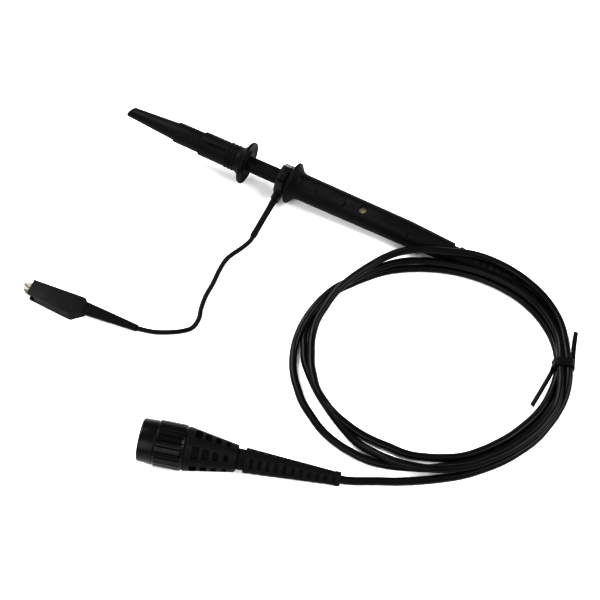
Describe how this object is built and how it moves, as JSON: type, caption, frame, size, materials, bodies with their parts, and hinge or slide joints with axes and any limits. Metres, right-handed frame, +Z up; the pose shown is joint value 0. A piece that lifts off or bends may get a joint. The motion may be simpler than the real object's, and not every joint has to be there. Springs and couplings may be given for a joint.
{
  "type": "oscilloscope probe",
  "caption": "Passive high-voltage oscilloscope probe with sprung hook tip, ground clip lead, coiled coaxial cable and insulated BNC plug.",
  "frame": {"origin": "on the table, under the middle of the probe head's bounding box (hook tip to cable boot)", "axes": "+X along the head from the hook tip towards the cable, as seen from above; +Z up; +Y away from the coil and the plug"},
  "size_m": [0.2097, 0.1419, 0.019],
  "materials": {
    "black_plastic": "satin moulded plastic",
    "pad_plastic": "satin moulded plastic, finely textured",
    "ring_plastic": "polished moulded plastic",
    "collar_plastic": "glossy moulded plastic",
    "boot_rubber": "soft matt rubber",
    "clip_vinyl": "soft vinyl",
    "cable_pvc": "satin jacket",
    "lead_pvc": "satin jacket",
    "tie_pvc": "coated flat wire",
    "nickel": "nickel plate, lightly brushed",
    "spring_steel": "drawn wire",
    "gold_contact": "gold plate",
    "brass": "turned brass",
    "ptfe": "milky fluoropolymer",
    "core_plastic": "natural acetal",
    "ceramic": "unglazed ceramic",
    "board": "solder-masked laminate",
    "resistor_body": "lacquered",
    "gasket": "silicone"
  },
  "bodies": {
    "probe": {"tip_needle": "gold_contact", "nose_insulator": "black_plastic", "ground_collar": "nickel", "ground_lead": "lead_pvc", "grip_shell": "black_plastic", "rating_pad": "pad_plastic", "shield_tube": "nickel", "circuit_board": "board", "divider_resistor": "resistor_body", "trimmer_body": "ceramic", "tail_cone": "black_plastic", "cable_boot": "boot_rubber", "cable_inner": "cable_pvc", "cable_lead_in": "cable_pvc", "cable_coil": "cable_pvc", "cable_crossing": "cable_pvc", "cable_lead_out": "cable_pvc", "twist_tie": "tie_pvc", "clip_boot": "clip_vinyl", "clip_fixed_jaw": "nickel", "clip_pin": "spring_steel", "clip_spring": "spring_steel", "bnc_lock_washer": "spring_steel", "bnc_body": "nickel", "bnc_insulator": "ptfe", "bnc_centre_pin": "gold_contact", "bnc_gasket": "gasket", "bnc_housing": "black_plastic", "bnc_cable_boot": "boot_rubber", "bnc_cable_inner": "cable_pvc"},
    "hook_core_body": {"hook_core": "core_plastic", "hook_contact": "gold_contact", "hook_wire": "spring_steel", "hook_spring": "spring_steel"},
    "hook_sleeve_body": {"hook_sleeve": "black_plastic", "nose_cone": "black_plastic"},
    "ground_ring_body": {"ground_ring": "ring_plastic", "ring_contact": "nickel", "ground_lead_sleeve": "boot_rubber"},
    "trimmer_screw_body": {"trimmer_screw": "brass"},
    "bnc_collar": {"bnc_shell": "collar_plastic", "bnc_lock_sleeve": "nickel"},
    "clip_jaw": {"clip_moving_jaw": "nickel"}
  },
  "joints": [
    {"name": "hook_pull", "type": "slide", "parent": "probe", "child": "hook_core_body", "axis": [-0.9979, 0, 0.0645], "range_m": [0, 0.03]},
    {"name": "hook_sleeve_slide", "type": "slide", "parent": "hook_core_body", "child": "hook_sleeve_body", "axis": [0.9979, 0, -0.0645], "range_m": [0, 0.007], "stiffness_N_per_m": 250, "springref_m": -0.006, "deforming": ["hook_spring"]},
    {"name": "ground_ring_swivel", "type": "hinge", "parent": "probe", "child": "ground_ring_body", "pos_m": [-0.01497, 0, 0.009], "axis": [-0.9979, 0, 0.0645], "range_deg": [0, 45], "deforming": ["ground_lead"]},
    {"name": "trimmer_turn", "type": "hinge", "parent": "probe", "child": "trimmer_screw_body", "pos_m": [0.02058, -0.00045, 0.00865], "axis": [0.0629, -0.225, 0.9723], "continuous": true},
    {"name": "bnc_collar_turn", "type": "hinge", "parent": "probe", "child": "bnc_collar", "pos_m": [-0.00293, -0.12353, 0.00913], "axis": [0.9562, 0.276, -0.0976], "range_deg": [0, 90]},
    {"name": "clip_jaw_open", "type": "hinge", "parent": "probe", "child": "clip_jaw", "pos_m": [-0.07612, -0.08654, 0.0028], "axis": [0, 0, 1], "range_deg": [0, 16], "stiffness_Nm_per_rad": 0.05, "springref_deg": -17.19, "deforming": ["clip_spring"]}
  ]
}
